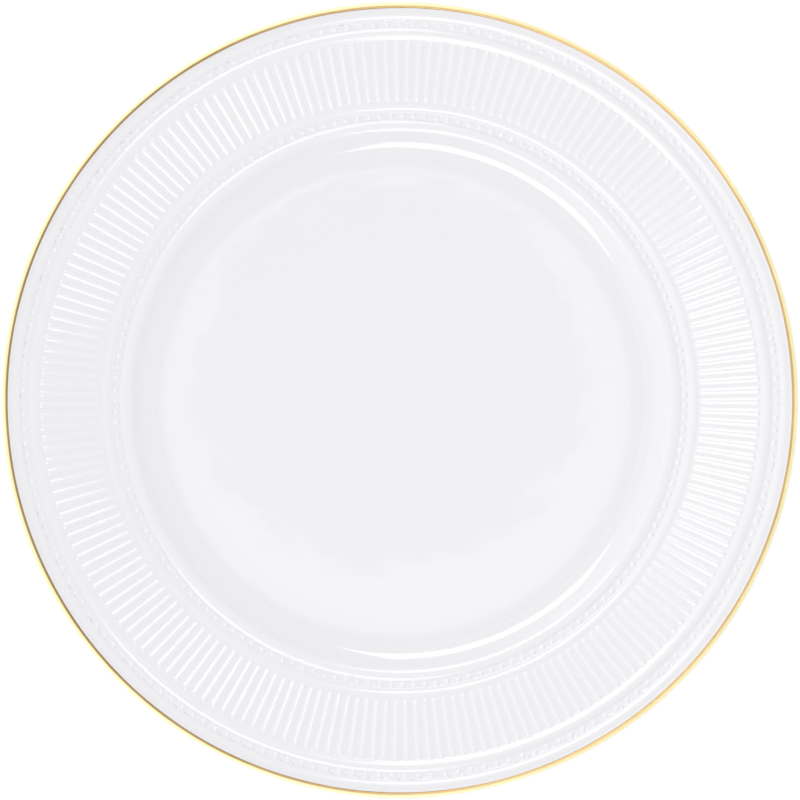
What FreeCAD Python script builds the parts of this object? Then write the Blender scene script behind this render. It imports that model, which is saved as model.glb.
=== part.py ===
import FreeCAD, Part
import math
import os
import Sketcher

# China dinner plate: a white porcelain body under a clear glaze, with a gilt band on its lip.
# Frame: +Z up, origin at the centre of the foot ring's bearing plane, millimetres.

SIZES = {
    # the whole plate
    "plate_radius": 135.0,
    "plate_height": 22.0,
    "well_thickness": 4.2,
    "rim_thickness": 3.6,
    "rim_slope": 0.2,
    # the rounded lip: its section's radius, and how far its crown stands above the rim beside it
    "lip_radius": 1.6,
    "lip_rise": 1.1,
    # the foot ring
    "foot_outer_radius": 81.4,
    "foot_inner_radius": 77.4,
    "foot_flare": 1.1,
    "foot_edge": 0.5,
    "bare_height": 0.9,
    "under_cavetto_reach": 95.0,
    "under_cavetto_radius": 20.0,
    # the well ends at the cavetto, a concave round that climbs into the convex round of the roll
    "well_radius": 82.9,
    "cavetto_round": 10.0,
    "roll_round": 4.0,
    "roll_radius": 93.2,
    "roll_rise": 0.55,
    "roll_outer_radius": 94.6,
    # raised rings on the rim, each by the radius of its crest, half its width and its height
    "edge_ring_radius": 130.2,
    "edge_ring_half": 1.5,
    "edge_ring_rise": 0.28,
    "outer_ring_radius": 123.6,
    "outer_ring_half": 1.7,
    "outer_ring_rise": 0.45,
    "inner_ring_radius": 99.3,
    "inner_ring_half": 1.5,
    "inner_ring_rise": 0.4,
    # the sunk channels that hold the beads
    "channel_depth": 0.25,
    "channel_wall": 0.3,
    # flutes: raised ribs that taper towards the well
    "flute_count": 199,
    "flute_start_angle": -0.14,
    "flute_inner_end": 101.2,
    "flute_outer_end": 121.7,
    "flute_inner_width": 1.9,
    "flute_outer_width": 2.2,
    "flute_inner_rise": 0.32,
    "flute_outer_rise": 0.36,
    # beads: domes on the floors of the two channels
    "outer_bead_count": 179,
    "outer_bead_start_angle": 1.41,
    "outer_bead_ring": 127.0,
    "inner_bead_count": 159,
    "inner_bead_start_angle": 1.13,
    "inner_bead_ring": 96.2,
    "bead_width": 1.9,
    "bead_rise": 0.45,
    # the glaze's thickness, measured upright, and the gilding's
    "coat": 0.3,
    "gilt_thickness": 0.2,
    "gilt_inner_radius": 132.4,
    "gilt_outer_radius": 134.2,
}

SHEET = "Sizes"

FULL_TURN = 360
QUARTER_TURN = math.pi / 2
SAME_PLACE = 1e-6  # points closer than this are one point

# Sketcher's numbers for the points of a line or an arc, and for a sketch's own two axes
START, END, CENTRE = 1, 2, 3
LEVEL_AXIS, UPRIGHT_AXIS = -1, -2


# ---- sizes that carry their own expressions ----


class Size:
    """A number worked out from the sheet, with the expression that gives it."""

    def __init__(self, value, text):
        self.value = value
        self.text = text

    def combine(self, other, sign, value):
        return Size(value, f"({self.text} {sign} {other.text})")

    def __add__(self, other):
        other = as_size(other)
        return self.combine(other, "+", self.value + other.value)

    def __sub__(self, other):
        other = as_size(other)
        return self.combine(other, "-", self.value - other.value)

    def __mul__(self, other):
        other = as_size(other)
        return self.combine(other, "*", self.value * other.value)

    def __truediv__(self, other):
        other = as_size(other)
        return self.combine(other, "/", self.value / other.value)


def as_size(number):
    return number if isinstance(number, Size) else Size(number, repr(number))


def size(alias):
    return Size(float(SIZES[alias]), f"{SHEET}.{alias}")


def root(number):
    return Size(math.sqrt(number.value), f"sqrt({number.text})")


NOTHING = Size(0.0, "0")


def arc_radius(half_chord, rise):
    """The radius of an arc that stands rise above the middle of its chord."""
    return (half_chord * half_chord + rise * rise) / (rise * 2)


# ---- sketches ----


def tie(sketch, kind, *places):
    return sketch.addConstraint(Sketcher.Constraint(kind, *places))


def pin(sketch, geometry, point, x, z):
    """Holds a point of the sketch at x and z, both bound to the sheet."""
    for kind, axis, distance in (("DistanceX", UPRIGHT_AXIS, x), ("DistanceY", LEVEL_AXIS, z)):
        if distance is NOTHING:
            tie(sketch, "PointOnObject", geometry, point, axis)
            continue
        index = tie(sketch, kind, LEVEL_AXIS, START, geometry, point, distance.value)
        sketch.setExpression(f"Constraints[{index}]", distance.text)


def set_radius(sketch, geometry, radius):
    index = tie(sketch, "Radius", geometry, radius.value)
    sketch.setExpression(f"Constraints[{index}]", radius.text)


def arc_between(start, end, radius, side):
    """An arc from start to end that bulges to the left of the way for side 1, to the right for -1."""
    chord = end - start
    half = chord.Length / 2
    left = FreeCAD.Vector(-chord.y, chord.x, 0).normalize()
    rise = radius - math.sqrt(radius * radius - half * half)
    return Part.Arc(start, (start + end) / 2 + left * (rise * side), end)


def section_sketch(body, name, turn=None):
    """An empty sketch on the body's upright XZ plane, turned about the plate's axis by an alias."""
    sketch = body.newObject("Sketcher::SketchObject", name)
    planes = [p for p in body.Origin.OriginFeatures if p.Role == "XZ_Plane"]
    sketch.AttachmentSupport = [(planes[0], "")]
    sketch.MapMode = "FlatFace"
    if turn:
        spin = FreeCAD.Rotation(FreeCAD.Vector(0, 1, 0), SIZES[turn])
        sketch.AttachmentOffset = FreeCAD.Placement(FreeCAD.Vector(), spin)
        sketch.setExpression("AttachmentOffset.Rotation.Angle", f"{SHEET}.{turn}")
    return sketch


def point_at(sketch, geometry, place):
    """Which end of a line or arc lies at a place. An arc may have been stored from its end to its start."""
    near = sketch.getPoint(geometry, START).distanceToPoint(place) < SAME_PLACE
    return START if near else END


def draw_outline(sketch, corners):
    """Draws a closed outline. Each corner is (x, z), or (x, z, radius, side) where an arc leads to it."""
    places = [FreeCAD.Vector(x.value, z.value, 0) for x, z, *_ in corners]
    for i, (_, _, *bend) in enumerate(corners):
        start, end = places[i - 1], places[i]
        if bend:
            radius, side = bend
            sketch.addGeometry(arc_between(start, end, radius.value, side), False)
        else:
            sketch.addGeometry(Part.LineSegment(start, end), False)
    for i, (x, z, *bend) in enumerate(corners):
        here = point_at(sketch, i, places[i])
        following = (i + 1) % len(corners)
        there = point_at(sketch, following, places[i])
        tie(sketch, "Coincident", i, here, following, there)
        pin(sketch, i, here, x, z)
        if bend:
            set_radius(sketch, i, bend[0])


# ---- the plate's section ----


def rim_height(radius):
    """The height of the rim's plain slope at a radius."""
    foot_of_lip = size("plate_height") - size("lip_rise")
    return foot_of_lip - size("rim_slope") * (lip_inner_radius() - radius)


def lip_centre_radius():
    return size("plate_radius") - size("lip_radius")


def lip_centre_height():
    return size("plate_height") - size("lip_radius")


def lip_inner_radius():
    """Where the lip's round meets the rim's slope."""
    drop = size("lip_radius") - size("lip_rise")
    return lip_centre_radius() - root(size("lip_radius") * size("lip_radius") - drop * drop)


def lean_of_cavetto():
    """The sine and cosine of the slope where the cavetto's round runs into the roll's."""
    run = size("roll_radius") - size("well_radius")
    sine = run / (size("cavetto_round") + size("roll_round"))
    return sine, root(as_size(1) - sine * sine)


def floor_height():
    """The height of the well's glazed floor, which is as far below the roll's crest as the rounds reach."""
    _, cosine = lean_of_cavetto()
    both = size("cavetto_round") + size("roll_round")
    crest = rim_height(size("roll_radius")) + size("roll_rise")
    return crest - both * (as_size(1) - cosine)


def cavetto_corners(depth):
    """The roll and the cavetto, crossed inwards: two rounds that meet on one slope."""
    sine, cosine = lean_of_cavetto()
    roll, cavetto = size("roll_round"), size("cavetto_round")
    outer = size("roll_outer_radius")
    across = outer - size("roll_radius")
    crest = rim_height(size("roll_radius")) + size("roll_rise") - depth
    outer_height = crest - roll + root(roll * roll - across * across)
    meeting = size("roll_radius") - roll * sine
    return [
        (outer, outer_height),
        (meeting, crest - roll + roll * cosine, roll, -1),
        (size("well_radius"), floor_height() - depth, cavetto, 1),
    ]


def ring_corners(name, depth):
    """A raised ring, crossed inwards: its outer foot, then an arc to its inner foot."""
    crest, half, rise = size(f"{name}_radius"), size(f"{name}_half"), size(f"{name}_rise")
    outer, inner = crest + half, crest - half
    return [
        (outer, rim_height(outer) - depth),
        (inner, rim_height(inner) - depth, arc_radius(half, rise), -1),
    ]


def channel_corners(outer, inner, depth):
    """The sunk floor between two rings, crossed inwards."""
    outer, inner = outer - size("channel_wall"), inner + size("channel_wall")
    sunk = size("channel_depth") + depth
    return [(outer, rim_height(outer) - sunk), (inner, rim_height(inner) - sunk)]


def face_corners(depth):
    """The lip and the face, from under the lip to the centre of the well, at a depth below the glaze."""
    lip_x, lip_z, round_ = lip_centre_radius(), lip_centre_height(), size("lip_radius") - depth
    drop = size("lip_radius") - size("lip_rise")
    lip_foot = root(round_ * round_ - (drop - depth) * (drop - depth))
    corners = [
        (lip_x, lip_z - round_),
        (lip_x + round_, lip_z, round_, -1),
        (lip_x, lip_z + round_, round_, -1),
        (lip_x - lip_foot, lip_z + drop - depth, round_, -1),
    ]
    corners += ring_corners("edge_ring", depth)
    corners += channel_corners(
        size("edge_ring_radius") - size("edge_ring_half"),
        size("outer_ring_radius") + size("outer_ring_half"),
        depth,
    )
    corners += ring_corners("outer_ring", depth)
    corners += ring_corners("inner_ring", depth)
    corners += channel_corners(
        size("inner_ring_radius") - size("inner_ring_half"),
        size("roll_outer_radius"),
        depth,
    )
    corners += cavetto_corners(depth)
    corners.append((NOTHING, floor_height() - depth))
    return corners


def under_corners(depth):
    """The underside, from the foot ring's outer wall out to the thin part of the rim."""
    reach, knee = size("under_cavetto_reach"), size("edge_ring_radius")
    thick = size("rim_thickness") - depth
    wall_top = outer_wall_radius(recess_height()) + size("coat") - depth
    return [
        (wall_top, recess_height() - size("coat") + depth),
        (reach, rim_height(reach) - thick, size("under_cavetto_radius"), -1),
        (knee, rim_height(knee) - thick),
    ]


def recess_height():
    """The height of the body's bare ceiling inside the foot ring."""
    return floor_height() - size("well_thickness") + size("coat")


def flare_at(height):
    """How far the foot ring's walls have leant out from their feet at a height."""
    climb = (height - size("foot_edge")) / (recess_height() - size("foot_edge"))
    return size("foot_flare") * climb


def inner_wall_radius(height):
    return size("foot_inner_radius") - flare_at(height)


def outer_wall_radius(height):
    return size("foot_outer_radius") + flare_at(height)


def body_corners():
    """The whole section of the fired body, under its coats."""
    edge = size("foot_edge")
    outer, inner = size("foot_outer_radius"), size("foot_inner_radius")
    foot = [
        (NOTHING, recess_height()),
        (inner_wall_radius(recess_height()), recess_height()),
        (inner, edge),
        (inner + edge, NOTHING),
        (outer - edge, NOTHING),
        (outer, edge),
    ]
    return foot + under_corners(size("coat")) + face_corners(size("coat"))


# ---- PartDesign features ----


def new_body(document, name):
    body = document.addObject("PartDesign::Body", name)
    body.Label = name
    return body


def revolve(body, kind, name, sketch, axis):
    """A full turn of the sketch about an axis in it, added (Revolution) or taken away (Groove)."""
    feature = body.newObject(f"PartDesign::{kind}", name)
    feature.Profile = sketch
    feature.ReferenceAxis = (sketch, [axis])
    feature.Angle = FULL_TURN
    feature.Refine = False
    return feature


def revolve_outline(body, kind, name, corners):
    sketch = section_sketch(body, f"{name}_section")
    draw_outline(sketch, corners)
    return revolve(body, kind, name, sketch, "V_Axis")


def repeat_round(body, feature, count):
    """Copies of the feature, evenly round the plate's axis."""
    pattern = body.newObject("PartDesign::PolarPattern", f"{feature.Name}_pattern")
    axes = [a for a in body.Origin.OriginFeatures if a.Role == "Z_Axis"]
    pattern.Originals = [feature]
    pattern.Axis = (axes[0], [""])
    pattern.Angle = FULL_TURN
    pattern.Occurrences = SIZES[count]
    pattern.setExpression("Occurrences", f"{SHEET}.{count}")
    pattern.Refine = False
    body.Tip = pattern
    return pattern


def bead(body, name):
    """One bead: a ball sunk in its channel's floor, so that a dome of the bead's width stands up."""
    ring = size(f"{name}_ring")
    ball = arc_radius(size("bead_width") / 2, size("bead_rise"))
    centre = rim_height(ring) - size("channel_depth") - (ball - size("bead_rise"))
    sketch = section_sketch(body, f"{name}_section", f"{name}_start_angle")
    middle = FreeCAD.Vector(ring.value, centre.value, 0)
    up = FreeCAD.Vector(0, ball.value, 0)
    circle = Part.Circle(middle, FreeCAD.Vector(0, 0, 1), ball.value)
    half_circle = Part.ArcOfCircle(circle, -QUARTER_TURN, QUARTER_TURN)
    round_ = sketch.addGeometry(half_circle, False)
    flat = sketch.addGeometry(Part.LineSegment(middle + up, middle - up), False)
    axis = sketch.addGeometry(Part.LineSegment(middle - up, middle + up), True)
    tie(sketch, "Coincident", round_, END, flat, START)
    tie(sketch, "Coincident", flat, END, round_, START)
    tie(sketch, "Coincident", axis, START, round_, START)
    tie(sketch, "Coincident", axis, END, round_, END)
    tie(sketch, "Vertical", flat)
    tie(sketch, "PointOnObject", round_, CENTRE, flat)
    pin(sketch, round_, CENTRE, ring, centre)
    set_radius(sketch, round_, ball)
    return revolve(body, "Revolution", name, sketch, "Axis0")


def flute(body):
    """One flute: a tapered round bar with domed ends, sunk in the rim so that a low rib stands up."""
    ends = []
    for side, towards_middle in (("inner", 1), ("outer", -1)):
        half, rise = size(f"flute_{side}_width") / 2, size(f"flute_{side}_rise")
        radius = arc_radius(half, rise)
        x = size(f"flute_{side}_end") + half * towards_middle
        ends.append((x, rim_height(x) - (radius - rise), radius))
    sketch = section_sketch(body, "flute_section", "flute_start_angle")
    (x0, z0, radius0), (x1, z1, radius1) = ends
    start = FreeCAD.Vector(x0.value, z0.value, 0)
    finish = FreeCAD.Vector(x1.value, z1.value, 0)
    lean = math.atan2(finish.y - start.y, finish.x - start.x)
    along = FreeCAD.Vector(math.cos(lean), math.sin(lean), 0)
    across = FreeCAD.Vector(-math.sin(lean), math.cos(lean), 0)
    normal = FreeCAD.Vector(0, 0, 1)
    inner_circle = Part.Circle(start, normal, radius0.value)
    outer_circle = Part.Circle(finish, normal, radius1.value)
    inner_quarter = Part.ArcOfCircle(inner_circle, lean + QUARTER_TURN, lean + math.pi)
    outer_quarter = Part.ArcOfCircle(outer_circle, lean, lean + QUARTER_TURN)
    inner_tip = start - along * radius0.value
    outer_tip = finish + along * radius1.value
    inner_top = start + across * radius0.value
    outer_top = finish + across * radius1.value
    axis = sketch.addGeometry(Part.LineSegment(start, finish), True)
    inner_end = sketch.addGeometry(inner_quarter, False)
    ridge = sketch.addGeometry(Part.LineSegment(inner_top, outer_top), False)
    outer_end = sketch.addGeometry(outer_quarter, False)
    core = sketch.addGeometry(Part.LineSegment(outer_tip, inner_tip), False)
    pin(sketch, axis, START, x0, z0)
    pin(sketch, axis, END, x1, z1)
    tie(sketch, "Coincident", inner_end, CENTRE, axis, START)
    tie(sketch, "Coincident", outer_end, CENTRE, axis, END)
    set_radius(sketch, inner_end, radius0)
    set_radius(sketch, outer_end, radius1)
    tie(sketch, "Tangent", inner_end, START, ridge, START)
    tie(sketch, "Tangent", ridge, END, outer_end, END)
    tie(sketch, "Coincident", outer_end, START, core, START)
    tie(sketch, "Coincident", core, END, inner_end, END)
    tie(sketch, "PointOnObject", core, START, axis)
    tie(sketch, "PointOnObject", core, END, axis)
    return revolve(body, "Revolution", "flute", sketch, "Axis0")


# ---- the sub-parts ----


def make_porcelain_body(document):
    """The fired body: well, cavetto, rim and foot ring in one turned solid."""
    body = new_body(document, "porcelain_body")
    revolve_outline(body, "Revolution", "turned_body", body_corners())
    return body


def make_glaze_coat(document):
    """The clear coat over the face, round the lip and down the back to the foot ring's bare edge.

    It is made as a full solid with the beads and flutes on it, and then the body's space is cut away."""
    body = new_body(document, "glaze_coat")
    bare = size("bare_height")
    middle_of_foot = (size("foot_inner_radius") + size("foot_outer_radius")) / 2
    middle_of_wall = (floor_height() - size("coat") + recess_height()) / 2
    corners = [
        (NOTHING, middle_of_wall),
        (middle_of_foot, middle_of_wall),
        (middle_of_foot, bare),
        (outer_wall_radius(bare) + size("coat"), bare),
    ]
    corners += under_corners(NOTHING)
    corners += face_corners(NOTHING)
    revolve_outline(body, "Revolution", "coated_plate", corners)
    repeat_round(body, flute(body), "flute_count")
    repeat_round(body, bead(body, "outer_bead"), "outer_bead_count")
    repeat_round(body, bead(body, "inner_bead"), "inner_bead_count")
    revolve_outline(body, "Groove", "space_of_body", body_corners())
    return body


def make_foot_recess_glaze(document):
    """The patch of glaze inside the foot ring: its ceiling and its inner wall, down to the bare edge."""
    body = new_body(document, "foot_recess_glaze")
    top, bare, coat = recess_height(), size("bare_height"), size("coat")
    corners = [
        (NOTHING, top - coat),
        (inner_wall_radius(top) - coat, top - coat),
        (inner_wall_radius(bare) - coat, bare),
        (inner_wall_radius(bare), bare),
        (inner_wall_radius(top), top),
        (NOTHING, top),
    ]
    revolve_outline(body, "Revolution", "recess_coat", corners)
    return body


def make_gilt_rim_band(document):
    """The gold on the crown of the lip."""
    body = new_body(document, "gilt_rim_band")
    lip, thick = size("lip_radius"), size("gilt_thickness")
    centre_x, centre_z = lip_centre_radius(), lip_centre_height()
    corners = []
    ends = ((-1, "gilt_inner_radius"), (1, "gilt_outer_radius"))
    for side, alias in ends:
        across = size(alias) - centre_x
        up = root(lip * lip - across * across)
        stretch = (lip + thick) / lip
        on_glaze = (centre_x + across, centre_z + up)
        on_top = (centre_x + across * stretch, centre_z + up * stretch)
        corners.append((on_glaze, on_top))
    (inner_low, inner_high), (outer_low, outer_high) = corners
    crown_high = (centre_x, centre_z + lip + thick)
    crown_low = (centre_x, centre_z + lip)
    outline = [
        inner_high,
        (*crown_high, lip + thick, 1),
        (*outer_high, lip + thick, 1),
        outer_low,
        (*crown_low, lip, -1),
        (*inner_low, lip, -1),
    ]
    revolve_outline(body, "Revolution", "gilding", outline)
    return body


# ---- the document ----


def make_sheet(document):
    sheet = document.addObject("Spreadsheet::Sheet", SHEET)
    for row, (alias, number) in enumerate(SIZES.items(), start=1):
        sheet.set(f"A{row}", alias)
        sheet.set(f"B{row}", str(number))
        sheet.setAlias(f"B{row}", alias)
    document.recompute()


def check(document, subparts):
    """Stops if any object failed, or if a sub-part isn't one valid solid."""
    for item in document.Objects:
        if "Invalid" in item.State or "Error" in item.State:
            raise RuntimeError(f"{item.Name} failed: {item.State}")
    for subpart in subparts:
        shape = subpart.Shape
        if shape.isNull() or not shape.isValid() or len(shape.Solids) != 1:
            raise RuntimeError(f"{subpart.Label} isn't one valid solid")


def main():
    document = FreeCAD.newDocument("dinner_plate")
    make_sheet(document)
    subparts = [
        make_porcelain_body(document),
        make_glaze_coat(document),
        make_foot_recess_glaze(document),
        make_gilt_rim_band(document),
    ]
    document.recompute()
    check(document, subparts)
    os.makedirs("parts", exist_ok=True)
    for subpart in subparts:
        subpart.Shape.exportStep(f"parts/{subpart.Label}.step")
        box = subpart.Shape.BoundBox
        print(
            f"{subpart.Label}: {subpart.Shape.Volume:.0f} mm3, {len(subpart.Shape.Faces)} faces,"
            f" z {box.ZMin:.2f} to {box.ZMax:.2f}, radius {box.XMax:.2f}"
        )


main()
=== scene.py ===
import math

import bmesh
import bpy
import numpy as np
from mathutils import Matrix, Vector


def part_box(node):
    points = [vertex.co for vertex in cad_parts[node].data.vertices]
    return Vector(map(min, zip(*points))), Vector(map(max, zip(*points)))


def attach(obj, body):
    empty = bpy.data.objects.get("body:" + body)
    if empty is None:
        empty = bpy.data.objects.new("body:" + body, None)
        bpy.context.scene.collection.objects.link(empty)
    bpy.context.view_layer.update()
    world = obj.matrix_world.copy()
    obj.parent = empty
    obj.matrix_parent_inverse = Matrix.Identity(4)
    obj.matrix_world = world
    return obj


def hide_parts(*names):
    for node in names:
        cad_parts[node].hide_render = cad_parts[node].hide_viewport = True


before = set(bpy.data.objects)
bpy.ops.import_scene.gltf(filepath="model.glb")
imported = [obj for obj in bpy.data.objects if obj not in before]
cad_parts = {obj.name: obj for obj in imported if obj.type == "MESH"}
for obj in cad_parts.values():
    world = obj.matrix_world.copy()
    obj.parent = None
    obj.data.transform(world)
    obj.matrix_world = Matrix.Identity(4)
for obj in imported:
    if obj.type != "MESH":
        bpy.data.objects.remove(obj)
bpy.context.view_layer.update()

# ---- the plate's sizes, in millimetres, round the two that the frame gives ----

MM = 0.001
PLATE_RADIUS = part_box("glaze_coat")[1].x / MM
PLATE_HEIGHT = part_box("glaze_coat")[1].z / MM
WELL_THICKNESS = 4.2
RIM_THICKNESS = 3.6
RIM_SLOPE = 0.2

LIP_RADIUS = 1.6
LIP_RISE = 1.1
LIP_CENTRE = (PLATE_RADIUS - LIP_RADIUS, PLATE_HEIGHT - LIP_RADIUS)
LIP_DROP = LIP_RADIUS - LIP_RISE
LIP_INNER = LIP_CENTRE[0] - math.sqrt(LIP_RADIUS**2 - LIP_DROP**2)

FOOT_OUTER = 81.4
FOOT_INNER = 77.4
FOOT_FLARE = 1.1
FOOT_EDGE = 0.5
BARE_HEIGHT = 0.9
UNDER_REACH = 95.0
UNDER_ROUND = 20.0

# the cavetto's concave round climbs into the convex round of the roll
WELL_RADIUS = 82.9
CAVETTO_ROUND = 10.0
ROLL_ROUND = 4.0
ROLL_RADIUS = 93.2
ROLL_RISE = 0.55
ROLL_OUTER = 94.6

# a shallow line pressed into the well where the cavetto starts: radius, half width and depth
WELL_LINE = (83.1, 0.45, 0.09)

# raised rings: (radius of the crest, half of the width, rise)
EDGE_RING = (130.2, 1.5, 0.28)
OUTER_RING = (123.6, 1.7, 0.45)
INNER_RING = (99.3, 1.5, 0.4)
CHANNEL_DEPTH = 0.25
CHANNEL_WALL = 0.3

# relief: (count, start angle in degrees, inner end, outer end, inner and outer width, rises)
FLUTES = (199, -0.14, 101.2, 121.7, 1.9, 2.2, 0.32, 0.36)
OUTER_BEADS = (179, 1.41, 126.05, 127.95, 1.9, 1.9, 0.45, 0.45)
INNER_BEADS = (159, 1.13, 95.25, 97.15, 1.9, 1.9, 0.45, 0.45)

COAT = 0.3
SKIN = 0.26  # how deep the hidden side of the glaze lies, just clear of the body
GILT_INNER = 132.4
GILT_OUTER = 134.2
GILT_PROUD = 0.05

# the gold's edges wander by GILT_UNEVENNESS, each by a seed of its own
GILT_UNEVENNESS = 0.06
GILT_SEEDS = (1.3, 4.1)
GILT_THINNING = 6  # it has its full thickness from a sixth of the way in

# ---- meshes ----

SAME = 1e-9  # lengths and angles that differ by less are equal
JOINED = 2e-6  # m, points that are nearer than this become one
FINE_STEP = 0.05  # mm between the points of an outline before it is thinned
CREASE_SOFTNESS = 0.16  # mm, how far the glaze rounds the creases of the moulding

# how far an outline turns, or how many millimetres it runs on, between the points that it keeps
OPEN_TURN = math.radians(7)
OPEN_RUN = 6.5
WALL_TURN = math.radians(4)
HIDDEN_TURN = math.radians(15)
HIDDEN_RUN = 25.0
FLAT_RUN = 20.0

# points round a circle, and GILT_ROWS across the gold
OUTER_COLUMNS = 398
INNER_COLUMNS = 318
HIDDEN_COLUMNS = 199
GILT_COLUMNS = 796
GILT_ROWS = 11

# the well's middle: circles of (share of the well's radius, points), then level rows from a share on
CENTRE_CIRCLES = ((0.04, 10), (0.15, 40), (0.4, 106))
LEVEL_START = 0.7
LEVEL_GAP = 1.0  # mm from the well's last level row to its border, so that its shading stays level

# a bead or a flute: points along its straight part, parts of a round end, parts of its cell's edge
# along the band, and rings round it as shares of the way out to its foot
FLUTE_ROWS = 5
CAP_STEPS = 8
ACROSS = 4
DOME_RINGS = (0.36, 0.66, 0.88, 1.02, 1.16)
FOOT_SOFTNESS = 0.13


class Skin:
    """Points and faces of one piece, gathered before they are made into a mesh."""

    def __init__(self):
        self.points = []
        self.faces = []
        self.count = 0

    def add(self, points):
        """Adds points in millimetres and returns the number of the first one."""
        first = self.count
        self.points.append(np.asarray(points, float))
        self.count += len(points)
        return first

    def loop(self, radius, height, columns, start=0.0):
        """A level circle of points. Returns its angles and its points' numbers."""
        angles = start + np.arange(columns) * (2 * math.pi / columns)
        circle = np.stack([radius * np.cos(angles), radius * np.sin(angles)], axis=1)
        first = self.add(np.column_stack([circle, np.full(columns, height)]))
        return angles, list(range(first, first + columns))

    def bridge(self, one, two):
        """Joins two circles of points, which may have different numbers of points."""
        (angles_a, a), (angles_b, b) = one, two
        if len(a) == len(b) and abs(angles_a[0] - angles_b[0]) < SAME:
            for i in range(len(a)):
                j = (i + 1) % len(a)
                self.faces.append((a[i], a[j], b[j], b[i]))
            return
        turn = 2 * math.pi
        offset = int(np.argmin(np.abs((angles_b - angles_a[0] + math.pi) % turn - math.pi)))
        shift = round((angles_b[offset] - angles_a[0]) / turn) * turn
        angle_a = [angles_a[0] + (angles_a[1] - angles_a[0]) * i for i in range(len(a) + 1)]
        step_b = angles_b[1] - angles_b[0]
        angle_b = [angles_b[offset] - shift + step_b * i for i in range(len(b) + 1)]
        i = j = 0
        while i < len(a) or j < len(b):
            here_a, here_b = a[i % len(a)], b[(j + offset) % len(b)]
            if j == len(b) or (i < len(a) and angle_a[i + 1] <= angle_b[j + 1]):
                i += 1
                self.faces.append((here_a, a[i % len(a)], here_b))
            else:
                j += 1
                self.faces.append((here_a, b[(j + offset) % len(b)], here_b))

    def cap(self, circle, height):
        """Closes a circle of points at the plate's axis."""
        middle = self.add([(0.0, 0.0, height)])
        numbers = circle[1]
        for i, number in enumerate(numbers):
            self.faces.append((number, numbers[(i + 1) % len(numbers)], middle))

    def mesh(self, name):
        """Makes the object, with points that coincide joined and its faces turned outwards."""
        work = bmesh.new()
        for point in np.concatenate(self.points) * MM:
            work.verts.new(point)
        work.verts.ensure_lookup_table()
        for face in self.faces:
            work.faces.new([work.verts[i] for i in face])
        bmesh.ops.remove_doubles(work, verts=work.verts, dist=JOINED)
        bmesh.ops.recalc_face_normals(work, faces=work.faces)
        data = bpy.data.meshes.new(name)
        work.to_mesh(data)
        work.free()
        data.polygons.foreach_set("use_smooth", np.ones(len(data.polygons), bool))
        piece = bpy.data.objects.new(name, data)
        bpy.context.scene.collection.objects.link(piece)
        return piece


# ---- outlines ----


def rim_height(radius):
    """The height of the rim's plain slope."""
    return PLATE_HEIGHT - LIP_RISE - RIM_SLOPE * (LIP_INNER - radius)


def arc_radius(half_chord, rise):
    return (half_chord**2 + rise**2) / (2 * rise)


def resample(corners):
    """Points FINE_STEP apart along a line through the corners."""
    corners = np.asarray(corners, float)
    lengths = np.hypot(*np.diff(corners, axis=0).T)
    corners = corners[np.r_[True, lengths > SAME]]
    along = np.r_[0, np.cumsum(np.hypot(*np.diff(corners, axis=0).T))]
    places = np.linspace(0, along[-1], max(2, round(along[-1] / FINE_STEP)))
    return np.column_stack([np.interp(places, along, corners[:, k]) for k in (0, 1)])


def soften(path, softness):
    """Rounds the creases of an evenly spaced path and leaves its ends in place.

    The weights are a bell of the given softness, cut off at three times it."""
    reach = math.ceil(3 * softness / FINE_STEP)
    offsets = np.arange(-reach, reach + 1)
    weights = np.exp(-0.5 * (offsets * FINE_STEP / softness) ** 2)
    weights /= weights.sum()
    before = 2 * path[0] - path[reach:0:-1]
    after = 2 * path[-1] - path[-2 : -reach - 2 : -1]
    padded = np.concatenate([before, path, after])
    return np.column_stack([np.convolve(padded[:, k], weights, "valid") for k in (0, 1)])


def thin_out(path, turn=OPEN_TURN, longest=OPEN_RUN):
    """Keeps a point wherever the path has turned enough, or run on far enough, since the last one."""
    steps = np.diff(path, axis=0)
    headings = np.unwrap(np.arctan2(steps[:, 1], steps[:, 0]))
    kept = [path[0]]
    heading, run = headings[0], 0.0
    for i in range(1, len(path) - 1):
        run += np.hypot(*steps[i - 1])
        if abs(headings[i] - heading) >= turn or run >= longest:
            kept.append(path[i])
            heading, run = headings[i], 0.0
    kept.append(path[-1])
    return np.array(kept)


def arc(centre, radius, start, stop, points=48):
    """Points on a circle, between two angles in degrees."""
    angles = np.radians(np.linspace(start, stop, points))
    return [(centre[0] + radius * math.cos(a), centre[1] + radius * math.sin(a)) for a in angles]


def ring_arc(ring, points=24):
    """The arc of a raised ring on the rim, from its inner foot to its outer one."""
    crest, half, rise = ring
    radius = arc_radius(half, rise)
    across = np.linspace(-half, half, points)
    bump = np.sqrt(radius**2 - across**2) - (radius - rise)
    return [(crest + x, rim_height(crest + x) + b) for x, b in zip(across, bump)]


def inner_foot(ring):
    return ring[0] - ring[1]


def outer_foot(ring):
    return ring[0] + ring[1]


INNER_CHANNEL = (ROLL_OUTER + CHANNEL_WALL, inner_foot(INNER_RING) - CHANNEL_WALL)
OUTER_CHANNEL = (outer_foot(OUTER_RING) + CHANNEL_WALL, inner_foot(EDGE_RING) - CHANNEL_WALL)


def channel(edges):
    """The sunk floor that holds a string of beads, from its inner wall to its outer one."""
    return [(r, rim_height(r) - CHANNEL_DEPTH) for r in edges]


def steepest_lean():
    """The slope in degrees where the cavetto's round meets the roll's."""
    return math.degrees(math.asin((ROLL_RADIUS - WELL_RADIUS) / (CAVETTO_ROUND + ROLL_ROUND)))


def roll_crest():
    return rim_height(ROLL_RADIUS) + ROLL_RISE


def floor_height():
    """The well's floor, as far below the roll's crest as the two rounds reach."""
    lean = math.radians(steepest_lean())
    return roll_crest() - (CAVETTO_ROUND + ROLL_ROUND) * (1 - math.cos(lean))


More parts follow.
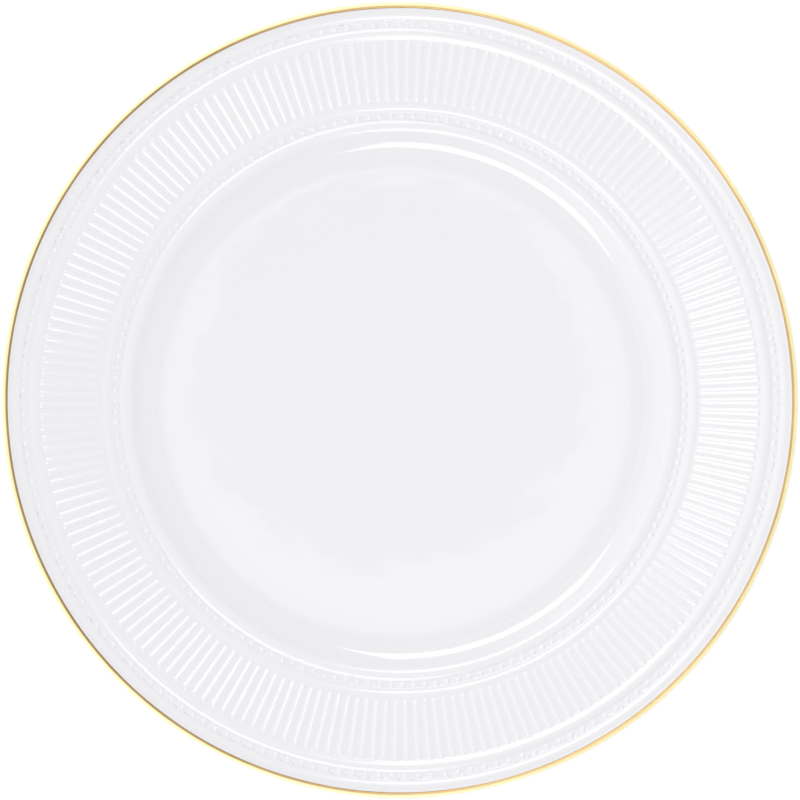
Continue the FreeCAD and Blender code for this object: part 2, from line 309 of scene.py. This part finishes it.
def face_path():
    """The glazed face's outline, from the plate's axis out to the crown of the lip."""
    lean, floor = steepest_lean(), floor_height()
    roll_end = math.degrees(math.acos((ROLL_OUTER - ROLL_RADIUS) / ROLL_ROUND))
    corners = [(0.0, floor)]
    corners += arc((WELL_RADIUS, floor + CAVETTO_ROUND), CAVETTO_ROUND, -90, lean - 90)
    corners += arc((ROLL_RADIUS, roll_crest() - ROLL_ROUND), ROLL_ROUND, 90 + lean, roll_end)
    corners += channel(INNER_CHANNEL)
    corners += ring_arc(INNER_RING)
    corners += ring_arc(OUTER_RING)
    corners += channel(OUTER_CHANNEL)
    corners += ring_arc(EDGE_RING)
    start = 180 - math.degrees(math.asin(LIP_DROP / LIP_RADIUS))
    corners += arc(LIP_CENTRE, LIP_RADIUS, start, 90)
    path = soften(resample(corners), CREASE_SOFTNESS)
    radius, half, depth = WELL_LINE
    path[:, 1] -= depth * np.exp(-(((path[:, 0] - radius) / half) ** 2))
    return path


def recess_height():
    return floor_height() - WELL_THICKNESS


def back_path():
    """The glazed back's outline, from the crown of the lip round to the foot ring's bare edge."""
    wall_top = (FOOT_OUTER + FOOT_FLARE + COAT, recess_height())
    knee = (UNDER_REACH, rim_height(UNDER_REACH) - RIM_THICKNESS)
    bend = EDGE_RING[0]
    corners = arc(LIP_CENTRE, LIP_RADIUS, 90, -90)
    corners += [(bend, rim_height(bend) - RIM_THICKNESS)]
    corners += arc_through(knee, wall_top, UNDER_ROUND)
    corners += [(FOOT_OUTER + COAT, BARE_HEIGHT)]
    return soften(resample(corners), CREASE_SOFTNESS * 2)


def arc_through(start, end, radius, points=32):
    """An arc between two points that bulges to the left of the way."""
    start, end = np.array(start), np.array(end)
    chord = end - start
    length = np.hypot(*chord)
    left = np.array([-chord[1], chord[0]]) / length
    centre = (start + end) / 2 - left * math.sqrt(radius**2 - (length / 2) ** 2)
    first = math.atan2(*(start - centre)[::-1])
    last = math.atan2(*(end - centre)[::-1])
    if last > first:
        last -= 2 * math.pi
    return arc(centre, radius, math.degrees(first), math.degrees(last), points)


def sunk(path, depth):
    """A path moved into the china by a depth, square to itself. The china is on its right."""
    steps = np.gradient(path, axis=0)
    steps /= np.hypot(*steps.T)[:, None]
    return path + np.column_stack([steps[:, 1], -steps[:, 0]]) * depth


# ---- relief ----


def dome(share):
    """The height of a bead's or flute's section, by its share of the way out to the foot."""
    free = 1 - share**2
    soft = 0.5 * (free + math.sqrt(free**2 + FOOT_SOFTNESS**2))
    peak = 0.5 * (1 + math.sqrt(1 + FOOT_SOFTNESS**2))
    return soft / peak


def relief_spokes(relief, inner_edge, outer_edge):
    """One raised shape in its cell, as spokes round it.

    A spoke is (row, origin, direction, half width, rise, border point), and a border point is (radius,
    share of the pitch). A bead has no straight part between its round ends."""
    _, _, inner_end, outer_end, inner_width, outer_width, inner_rise, outer_rise = relief
    first, last = inner_end + inner_width / 2, outer_end - outer_width / 2
    long = last - first > SAME
    rows = FLUTE_ROWS if long else 1
    spokes = []

    def side(sign, order):
        for j in order:
            share = j / (rows - 1) if long else 0.0
            origin = first + (last - first) * share
            half = (inner_width + (outer_width - inner_width) * share) / 2
            rise = inner_rise + (outer_rise - inner_rise) * share
            spokes.append((j, origin, (0.0, sign), half, rise, (origin, 0.5 * sign)))

    def cap(sign, row, origin, width, rise, edge):
        middle = (origin + edge) / 2
        border = [(middle, 0.5), (edge, 0.5), (edge, 0.25), (edge, 0.0)]
        border += [(r, -t) for r, t in border[2::-1]]
        for k in range(1, CAP_STEPS):
            angle = math.pi * k / CAP_STEPS
            direction = (sign * math.sin(angle), sign * math.cos(angle))
            radius, share = border[k - 1]
            spokes.append((row, origin, direction, width / 2, rise, (radius, sign * share)))

    side(1, range(rows))
    cap(1, rows - 1, last, outer_width, outer_rise, outer_edge)
    side(-1, reversed(range(rows)))
    cap(-1, 0, first, inner_width, inner_rise, inner_edge)
    return spokes, rows


def add_relief(skin, relief, inner_edge, outer_edge, base):
    """Adds a band of beads or flutes on its floor, and returns its inner and outer circles of points."""
    count, start = relief[0], math.radians(relief[1])
    pitch = 2 * math.pi / count
    spokes, rows = relief_spokes(relief, inner_edge, outer_edge)
    places = []
    for row in range(rows):
        _, origin, _, _, rise, _ = spokes[row]
        places.append((origin, 0.0, rise))
    for _, origin, direction, half, rise, border in spokes:
        for share in DOME_RINGS:
            radius = origin + direction[0] * half * share
            turn = direction[1] * half * share / radius
            places.append((radius, turn, rise * dome(share) if share < DOME_RINGS[-1] else 0.0))
        places.append((border[0], border[1] * pitch, 0.0))
    rings = len(DOME_RINGS) + 1
    faces = []
    for i, spoke in enumerate(spokes):
        j = (i + 1) % len(spokes)
        here, there = rows + i * rings, rows + j * rings
        mid_here, mid_there = spoke[0], spokes[j][0]
        if mid_here == mid_there:
            faces.append((mid_here, here, there))
        else:
            faces.append((mid_here, here, there, mid_there))
        for k in range(rings - 1):
            faces.append((here + k, here + k + 1, there + k + 1, there + k))
    places = np.array(places)
    heights = base(places[:, 0]) + places[:, 2]
    for i in range(count):
        angles = start + i * pitch + places[:, 1]
        across = places[:, 0] * np.cos(angles)
        along = places[:, 0] * np.sin(angles)
        first = skin.add(np.column_stack([across, along, heights]))
        skin.faces += [tuple(first + n for n in face) for face in faces]
    begin = start - pitch / 2
    columns = count * ACROSS
    return [skin.loop(edge, float(base(edge)), columns, begin) for edge in (inner_edge, outer_edge)]


# ---- the pieces ----


def add_rows(skin, rows, columns, before=None):
    """Adds a turned surface along rows of (radius, height), joined to a circle of points before it."""
    for radius, height in rows:
        circle = skin.loop(radius, height, columns)
        if before:
            skin.bridge(before, circle)
        before = circle
    return before


def between(path, inner, outer):
    """The part of a path between two radii, ends included."""
    rows = path[(path[:, 0] > inner) & (path[:, 0] < outer)]
    ends = [np.interp(r, path[:, 0], path[:, 1]) for r in (inner, outer)]
    return np.vstack([[inner, ends[0]], rows, [outer, ends[1]]])


def hidden_side(path):
    """The outline of a coat's inner side. It is coarse, because nobody sees it."""
    return thin_out(sunk(path, SKIN), HIDDEN_TURN, HIDDEN_RUN)


def bead_band(edges):
    """The level part of a channel, inside its softened creases."""
    return edges[0] + CREASE_SOFTNESS, edges[1] - CREASE_SOFTNESS


def add_well(skin, plain, base):
    """Adds the well, from a cap on the plate's axis out to the last level row before its border."""
    circle = None
    for share, columns in CENTRE_CIRCLES:
        radius = WELL_RADIUS * share
        ring = skin.loop(radius, float(base(radius)), columns)
        if circle:
            skin.bridge(circle, ring)
        else:
            skin.cap(ring, float(base(0.0)))
        circle = ring
    level = between(plain, WELL_RADIUS * LEVEL_START, WELL_RADIUS - LEVEL_GAP)
    return add_rows(skin, thin_out(level), INNER_COLUMNS, circle)


def glazed_face():
    """The glaze over the well, the cavetto and the rim, with all its beads, flutes and rings."""
    path = face_path()
    plain = path[path[:, 0] <= LIP_INNER]

    def base(radius):
        return np.interp(radius, plain[:, 0], plain[:, 1])

    skin = Skin()
    inner_beads = bead_band(INNER_CHANNEL)
    outer_beads = bead_band(OUTER_CHANNEL)
    flutes = (outer_foot(INNER_RING), inner_foot(OUTER_RING))
    bands = [(INNER_BEADS, inner_beads), (FLUTES, flutes), (OUTER_BEADS, outer_beads)]
    loops = [add_relief(skin, relief, *edges, base) for relief, edges in bands]

    circle = add_well(skin, plain, base)
    wall = between(plain, WELL_RADIUS - LEVEL_GAP / 2, inner_beads[0])
    circle = add_rows(skin, thin_out(wall, WALL_TURN)[:-1], INNER_COLUMNS, circle)
    skin.bridge(circle, loops[0][0])
    ring = thin_out(between(plain, inner_beads[1], flutes[0]))
    circle = add_rows(skin, ring[1:-1], INNER_COLUMNS, loops[0][1])
    skin.bridge(circle, loops[1][0])
    ring = thin_out(between(plain, flutes[1], outer_beads[0]))
    circle = add_rows(skin, ring[1:-1], OUTER_COLUMNS, loops[1][1])
    skin.bridge(circle, loops[2][0])
    lip_start = int(np.argmax(path[:, 0] > outer_beads[1]))
    lip = thin_out(path[lip_start:])
    circle = add_rows(skin, lip, OUTER_COLUMNS, loops[2][1])

    hidden = hidden_side(path)
    under = add_rows(skin, hidden[:0:-1], HIDDEN_COLUMNS, circle)
    skin.cap(under, hidden[0][1])
    return skin.mesh("glazed_face")


def glazed_back():
    """The glaze from the crown of the lip, round its outside and down to the foot ring."""
    path = back_path()
    skin = Skin()
    outside = thin_out(path)
    circle = add_rows(skin, outside, OUTER_COLUMNS)
    circle = add_rows(skin, hidden_side(path)[::-1], HIDDEN_COLUMNS, circle)
    first = skin.loop(*outside[0], OUTER_COLUMNS)
    skin.bridge(circle, first)
    return skin.mesh("glazed_back")


def glazed_recess():
    """The patch of glaze inside the foot ring."""
    top = recess_height()
    corner = (FOOT_INNER - FOOT_FLARE - COAT, top)
    corners = [(FOOT_INNER - COAT, BARE_HEIGHT), corner, (0.0, top)]
    path = soften(resample(corners), CREASE_SOFTNESS * 3)
    skin = Skin()
    circle = add_rows(skin, thin_out(path, longest=FLAT_RUN)[:-1], INNER_COLUMNS)
    skin.cap(circle, top)
    hidden = hidden_side(path)
    start = skin.loop(*path[0], INNER_COLUMNS)
    circle = add_rows(skin, hidden[:-1], HIDDEN_COLUMNS, start)
    skin.cap(circle, hidden[-1][1])
    return skin.mesh("glazed_recess")


def bare_body():
    """The fired body under its coats. Only the foot ring's bearing edge shows."""
    face, back = sunk(face_path(), COAT), sunk(back_path(), COAT)
    ceiling = recess_height() + COAT
    foot = [
        (FOOT_OUTER, BARE_HEIGHT),
        (FOOT_OUTER, FOOT_EDGE),
        (FOOT_OUTER - FOOT_EDGE, 0.0),
        (FOOT_INNER + FOOT_EDGE, 0.0),
        (FOOT_INNER, FOOT_EDGE),
        (FOOT_INNER - FOOT_FLARE, ceiling),
        (0.0, ceiling),
    ]
    foot = soften(resample(foot), CREASE_SOFTNESS)
    skin = Skin()
    rows = np.vstack([thin_out(face)[1:], thin_out(back)[1:], thin_out(foot, longest=FLAT_RUN)[1:]])
    rows[:, 1] = np.maximum(rows[:, 1], 0.0)  # nothing reaches below the foot ring's flat edge
    first = skin.loop(*rows[0], INNER_COLUMNS)
    skin.cap(first, floor_height() - COAT)
    circle = add_rows(skin, rows[1:-1], INNER_COLUMNS, first)
    skin.cap(circle, ceiling)
    return skin.mesh("bare_body")


def wander(angle, seed):
    """A slow, smooth, repeating unevenness between about -1 and 1, as a hand-drawn line has."""
    waves = ((3, 0.5), (7, 0.3), (16, 0.2), (31, 0.12))
    return sum(size * math.sin(n * angle + seed * (n + 1)) for n, size in waves)


def gilt_section(angle):
    """The gold's section at an angle round the plate, as (tilt, radius) about the lip's centre.

    It runs out over the shown side, and back under the hidden one in steps twice as long."""
    tilts = []
    for radius, seed in zip((GILT_INNER, GILT_OUTER), GILT_SEEDS):
        edge = radius + GILT_UNEVENNESS * wander(angle, seed)
        tilts.append(math.acos((edge - LIP_CENTRE[0]) / LIP_RADIUS))
    start, stop = tilts
    section = []
    for j in range(GILT_ROWS):
        share = j / (GILT_ROWS - 1)
        proud = GILT_PROUD * min(1.0, GILT_THINNING * share, GILT_THINNING * (1 - share))
        section.append((start + (stop - start) * share, LIP_RADIUS + proud))
    return section + [(tilt, LIP_RADIUS - GILT_PROUD) for tilt, _ in section[::-2]]


def gilt_band():
    """The gold on the crown of the lip, a thin line with slightly uneven edges."""
    skin = Skin()
    numbers = []
    for i in range(GILT_COLUMNS):
        angle = 2 * math.pi * i / GILT_COLUMNS
        points = []
        for tilt, radius in gilt_section(angle):
            reach = LIP_CENTRE[0] + radius * math.cos(tilt)
            height = LIP_CENTRE[1] + radius * math.sin(tilt)
            points.append((reach * math.cos(angle), reach * math.sin(angle), height))
        first = skin.add(points)
        numbers.append(range(first, first + len(points)))
    for i, here in enumerate(numbers):
        there = numbers[(i + 1) % GILT_COLUMNS]
        for j in range(len(here)):
            k = (j + 1) % len(here)
            skin.faces.append((here[j], here[k], there[k], there[j]))
    return skin.mesh("gilt_band")


# ---- materials ----

# a Mix node's sockets by its kind: the two inputs and the output
MIX_SOCKETS = {"RGBA": (6, 7, 2), "FLOAT": (2, 3, 0)}
NOISE_SPAN = (0.3, 0.7)  # a noise seldom leaves it

# noises: (scale, detail, roughness), where a scale counts the noise's features in a metre
CLOUDS = (9.0, 3.0, 0.5)
RIPPLE = (70.0, 2.0, 0.4)
PORES = (900.0, 2.0, 0.5)
STAIN = (60.0, 4.0, 0.6)
GRAIN = (2600.0, 3.0, 0.7)
PATCHES = (45.0, 3.0, 0.6)
BRUSH = (1400.0, 2.0, 0.6)

# bumps: (strength, height in metres)
RIPPLE_BUMP = (1.0, 0.000015)
GRAIN_BUMP = (0.6, 0.00006)
BRUSH_BUMP = (0.5, 0.00001)

# the two colours or values that each look varies between
GLAZE_WHITES = ((0.845, 0.836, 0.857), (0.855, 0.848, 0.865))
WELL_ROUGHNESS = (0.012, 0.025)
RELIEF_ROUGHNESS = (0.11, 0.15)
BARE_WHITES = ((0.66, 0.64, 0.6), (0.78, 0.77, 0.74))
BARE_ROUGHNESS = (0.6, 0.85)
# painted light on the gold: a brown painted shade for the lip's inner side, a pale painted highlight for
# its outer side
GOLD_PAINTED_SHADE = ((0.5, 0.32, 0.12), (0.66, 0.44, 0.18))
GOLD_PAINTED_HIGHLIGHT = ((0.94, 0.8, 0.4), (0.98, 0.92, 0.55))
GOLD_METAL = (0.7, 0.12)
GOLD_ROUGHNESS = (0.3, 0.42)

GLAZE_IOR = 1.5
GILT_TURN = 132.95  # mm, the radius where the gold's painted shade starts to turn into its painted highlight
GILT_BLEND = 0.4  # mm, the width over which it does

FLOOR_WHITE = (0.9, 0.9, 0.9)
FLOOR_ROUGHNESS = 0.9
FLOOR_GLOW = 0.45


class Nodes:
    """Makes nodes in one tree, a material's or the world's."""

    def __init__(self, tree, coordinates):
        self.tree = tree
        self.place = self.node("ShaderNodeTexCoord").outputs[coordinates]

    def node(self, kind):
        return self.tree.nodes.new(kind)

    def link(self, output, socket):
        self.tree.links.new(output, socket)

    def noise(self, sizes):
        """A noise over the piece, as a value between 0 and 1."""
        made = self.node("ShaderNodeTexNoise")
        for socket, size in zip(("Scale", "Detail", "Roughness"), sizes):
            made.inputs[socket].default_value = size
        self.link(self.place, made.inputs["Vector"])
        return made.outputs["Fac"]

    def mix(self, factor, one, other, kind="RGBA"):
        """Mixes two colours, or two values if the kind is FLOAT. Each is a tuple or an output."""
        blend = self.node("ShaderNodeMix")
        blend.data_type = kind
        first, second, result = MIX_SOCKETS[kind]
        self.link(factor, blend.inputs[0])
        for socket, source in ((first, one), (second, other)):
            if isinstance(source, tuple):
                blend.inputs[socket].default_value = (*source, 1)
            else:
                self.link(source, blend.inputs[socket])
        return blend.outputs[result]

    def spread(self, source, values):
        """Turns a noise, or another value from 0 to 1, into one between two values."""
        span = self.node("ShaderNodeMapRange")
        for socket, value in zip(("From Min", "From Max", "To Min", "To Max"), NOISE_SPAN + values):
            span.inputs[socket].default_value = value
        self.link(source, span.inputs["Value"])
        return span.outputs["Result"]

    def smooth_step(self, source, low, high):
        """Turns a value into a smooth 0 to 1 between two limits."""
        span = self.node("ShaderNodeMapRange")
        span.interpolation_type = "SMOOTHSTEP"
        span.inputs["From Min"].default_value = low
        span.inputs["From Max"].default_value = high
        self.link(source, span.inputs["Value"])
        return span.outputs["Result"]

    def vector_math(self, operation, source, other=None):
        made = self.node("ShaderNodeVectorMath")
        made.operation = operation
        self.link(source, made.inputs[0])
        if other:
            made.inputs[1].default_value = other
        return made.outputs

    def outward_share(self, inner, outer):
        """The distance from the plate's axis, as 0 at the inner radius and 1 at the outer one."""
        flat = self.vector_math("MULTIPLY", self.place, (1, 1, 0))["Vector"]
        radius = self.vector_math("LENGTH", flat)["Value"]
        return self.smooth_step(radius, inner * MM, outer * MM)

    def apart(self, way):
        """How far a way in the world is from the upright one through (x, y, 1)."""
        return self.vector_math("DISTANCE", self.place, (*way, 1.0))["Value"]

    def bump(self, source, sizes):
        made = self.node("ShaderNodeBump")
        for socket, size in zip(("Strength", "Distance"), sizes):
            made.inputs[socket].default_value = size
        self.link(source, made.inputs["Height"])
        return made.outputs["Normal"]


def new_material(name):
    """A material, its shader, and the nodes that vary it from place to place."""
    material = bpy.data.materials.new(name)
    material.use_nodes = True
    shader = material.node_tree.nodes["Principled BSDF"]
    return material, shader, Nodes(material.node_tree, "Object")


def glaze_material():
    """Clear gloss over white, a little duller over the relief, with faint clouds and a slow ripple."""
    material, shader, nodes = new_material("clear_glaze")
    colour = nodes.mix(nodes.noise(CLOUDS), *GLAZE_WHITES)
    nodes.link(colour, shader.inputs["Base Color"])
    pores = nodes.noise(PORES)
    smooth = nodes.spread(pores, WELL_ROUGHNESS)
    satin = nodes.spread(pores, RELIEF_ROUGHNESS)
    over_relief = nodes.outward_share(WELL_RADIUS, ROLL_RADIUS)
    rough = nodes.mix(over_relief, smooth, satin, "FLOAT")
    nodes.link(rough, shader.inputs["Roughness"])
    nodes.link(nodes.bump(nodes.noise(RIPPLE), RIPPLE_BUMP), shader.inputs["Normal"])
    shader.inputs["IOR"].default_value = GLAZE_IOR
    return material


def porcelain_material():
    """Bare fired porcelain: matte, faintly warm, with a fine grain and a few darker patches."""
    material, shader, nodes = new_material("bare_porcelain")
    colour = nodes.mix(nodes.noise(STAIN), *BARE_WHITES)
    nodes.link(colour, shader.inputs["Base Color"])
    grain = nodes.noise(GRAIN)
    nodes.link(nodes.spread(grain, BARE_ROUGHNESS), shader.inputs["Roughness"])
    nodes.link(nodes.bump(grain, GRAIN_BUMP), shader.inputs["Normal"])
    return material


def gold_material():
    """Burnished gold with painted light: a brown painted shade on the lip's inner side, and a pale, less
    metallic painted highlight on its outer side.
    """
    material, shader, nodes = new_material("burnished_gold")
    patches = nodes.noise(PATCHES)
    # painted shade towards the lip's inner side, painted highlight towards its outer side, each with
    # random patches
    shaded_gold = nodes.mix(patches, *GOLD_PAINTED_SHADE)
    highlit_gold = nodes.mix(patches, *GOLD_PAINTED_HIGHLIGHT)
    outwards = nodes.outward_share(GILT_TURN, GILT_TURN + GILT_BLEND)
    nodes.link(nodes.mix(outwards, shaded_gold, highlit_gold), shader.inputs["Base Color"])
    nodes.link(nodes.spread(outwards, GOLD_METAL), shader.inputs["Metallic"])
    nodes.link(nodes.spread(patches, GOLD_ROUGHNESS), shader.inputs["Roughness"])
    nodes.link(nodes.bump(nodes.noise(BRUSH), BRUSH_BUMP), shader.inputs["Normal"])
    return material


def floor_material():
    """A white table that glows a little, so that it carries no hard shadow."""
    material, shader, _ = new_material("pale_floor")
    shader.inputs["Base Color"].default_value = (*FLOOR_WHITE, 1)
    shader.inputs["Roughness"].default_value = FLOOR_ROUGHNESS
    shader.inputs["Specular IOR Level"].default_value = 0.0
    shader.inputs["Emission Color"].default_value = (1, 1, 1, 1)
    shader.inputs["Emission Strength"].default_value = FLOOR_GLOW
    return material


# ---- the studio ----

# lengths are in metres. The tent lights the plate, and its gloss mirrors the boxes and the room

CAMERA_DISTANCE = 4.0
CAMERA_TILT = math.radians(1.0)
CAMERA_REACH = 20.0
SENSOR = 36.0  # mm

# soft boxes: (name, azimuth and elevation in degrees, width, height)
SOFT_BOXES = (("lower_box", 248, 52, 0.85, 0.5), ("upper_box", 111, 52, 0.78, 0.5))
BOX_DISTANCE = 1.2
BOX_RADIANCE = 4.1

TENT_RADIUS = 3.0
TENT_HEIGHT = 0.4
TENT_RADIANCE = 1.01
WALL_DISTANCE = 1.25
WALL_WIDTH = 2.5
WALL_HEIGHT = 0.4
WALL_RADIANCES = {0: 0.65, 90: 1.1, 180: 1.35, 270: 1.1}  # by the wall's azimuth

# the room's colours, and the x of a way where its left wall starts to show and where it is whole
ROOM = (0.37, 0.38, 0.52)
LEFT_WALL = (1.22, 1.2, 1.2)
LEFT_WALL_EDGES = (-0.15, -0.75)

# overhead, a dark hood inside a bright patch of ceiling, each a disc round a way of its own
HOOD = (0.1, 0.1, 0.1)
HOOD_WAY = (-0.0009, 0.02)
HOOD_REACH = 0.016
CEILING = (1.2, 1.17, 1.22)
CEILING_WAY = (-0.0055, 0.0165)
CEILING_REACH = 0.0258
DISC_BLUR = 0.08  # how soft a disc's edge is, as a share of its reach

FLOOR_RADIUS = 3.0
FLOOR_CORNERS = 96
FLOOR_DROP = 0.0002  # how far under the plate's foot it lies


def aim(thing, target):
    way = Vector(target) - thing.location
    thing.rotation_euler = way.to_track_quat("-Z", "Y").to_euler()


def add_camera():
    """Straight above the plate, which fills the picture from edge to edge."""
    data = bpy.data.cameras.new("camera")
    data.sensor_width = SENSOR
    data.lens = SENSOR * CAMERA_DISTANCE / (2 * PLATE_RADIUS * MM)
    data.clip_end = CAMERA_REACH
    camera = bpy.data.objects.new("camera", data)
    bpy.context.scene.collection.objects.link(camera)
    target = Vector((0, 0, PLATE_HEIGHT * MM))
    back = Vector((0, -math.sin(CAMERA_TILT), math.cos(CAMERA_TILT)))
    camera.location = target + back * CAMERA_DISTANCE
    aim(camera, target)
    bpy.context.scene.camera = camera


def add_area_light(name, shape, width, height, radiance):
    """A flat light of even radiance, a rectangle or a disk. It faces down from the origin."""
    data = bpy.data.lights.new(name, "AREA")
    data.shape = shape
    data.size = width
    data.size_y = height
    area = width * height * (math.pi / 4 if shape == "DISK" else 1)
    data.energy = radiance * math.pi * area
    light = bpy.data.objects.new(name, data)
    bpy.context.scene.collection.objects.link(light)
    return light


def add_softbox(name, azimuth, elevation, width, height):
    """A soft box that faces the plate. Azimuth is counted from +X towards +Y."""
    light = add_area_light(name, "RECTANGLE", width, height, BOX_RADIANCE)
    turn, lift = math.radians(azimuth), math.radians(elevation)
    level = math.cos(lift)
    way = Vector((level * math.cos(turn), level * math.sin(turn), math.sin(lift)))
    light.location = way * BOX_DISTANCE
    light.visible_diffuse = False
    aim(light, (0, 0, 0))


def hide_from_gloss(light):
    light.visible_glossy = False
    light.visible_camera = False


def add_tent():
    """The cloth of a light tent: even light from all over the sky, too dull to show in the gloss."""
    light = add_area_light("tent", "DISK", 2 * TENT_RADIUS, 2 * TENT_RADIUS, TENT_RADIANCE)
    light.location = (0, 0, TENT_HEIGHT)
    hide_from_gloss(light)


def add_tent_wall(azimuth, radiance):
    """One upright side of the tent, lit from behind."""
    light = add_area_light(f"tent_wall_{azimuth}", "RECTANGLE", WALL_WIDTH, WALL_HEIGHT, radiance)
    turn = math.radians(azimuth)
    middle = WALL_HEIGHT / 2
    light.location = (WALL_DISTANCE * math.cos(turn), WALL_DISTANCE * math.sin(turn), middle)
    hide_from_gloss(light)
    aim(light, (0, 0, middle))


def add_world():
    """A dim cool room with a pale wall on the left, and a bright ceiling round the camera's hood."""
    world = bpy.data.worlds.new("studio")
    world.use_nodes = True
    nodes = Nodes(world.node_tree, "Generated")
    split = nodes.node("ShaderNodeSeparateXYZ")
    nodes.link(nodes.place, split.inputs["Vector"])
    walls = nodes.mix(nodes.smooth_step(split.outputs["X"], *LEFT_WALL_EDGES), ROOM, LEFT_WALL)
    wider, narrower = 1 + DISC_BLUR, 1 - DISC_BLUR
    past_hood = nodes.smooth_step(nodes.apart(HOOD_WAY), HOOD_REACH, HOOD_REACH * wider)
    from_ceiling = nodes.apart(CEILING_WAY)
    past_ceiling = nodes.smooth_step(from_ceiling, CEILING_REACH * narrower, CEILING_REACH * wider)
    overhead = nodes.mix(past_hood, HOOD, CEILING)
    background = world.node_tree.nodes["Background"]
    nodes.link(nodes.mix(past_ceiling, overhead, walls), background.inputs["Color"])
    world.cycles_visibility.diffuse = False
    bpy.context.scene.world = world


def add_floor():
    """A round white table top under the plate."""
    work = bmesh.new()
    bmesh.ops.create_circle(work, cap_ends=True, segments=FLOOR_CORNERS, radius=FLOOR_RADIUS)
    data = bpy.data.meshes.new("floor")
    work.to_mesh(data)
    work.free()
    floor = bpy.data.objects.new("floor", data)
    floor.location.z = -FLOOR_DROP
    bpy.context.scene.collection.objects.link(floor)
    data.materials.append(floor_material())


# ---- the whole scene ----


def place(piece, material, slot, *nodes):
    """Gives a piece its material, hangs it under the root, and hides the CAD nodes that it stands for.
    """
    piece.data.materials.append(material)
    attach(piece, "root")
    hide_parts(*nodes)


add_camera()
add_world()
add_floor()
add_tent()
for azimuth, radiance in WALL_RADIANCES.items():
    add_tent_wall(azimuth, radiance)
for box in SOFT_BOXES:
    add_softbox(*box)

bpy.context.scene.view_settings.view_transform = "Standard"

glaze = glaze_material()
place(glazed_face(), glaze, "clear_glaze", "glaze_coat")
place(glazed_back(), glaze, "clear_glaze", "glaze_coat")
place(glazed_recess(), glaze, "clear_glaze", "foot_recess_glaze")
place(bare_body(), porcelain_material(), "bare_porcelain", "porcelain_body")
place(gilt_band(), gold_material(), "burnished_gold", "gilt_rim_band")
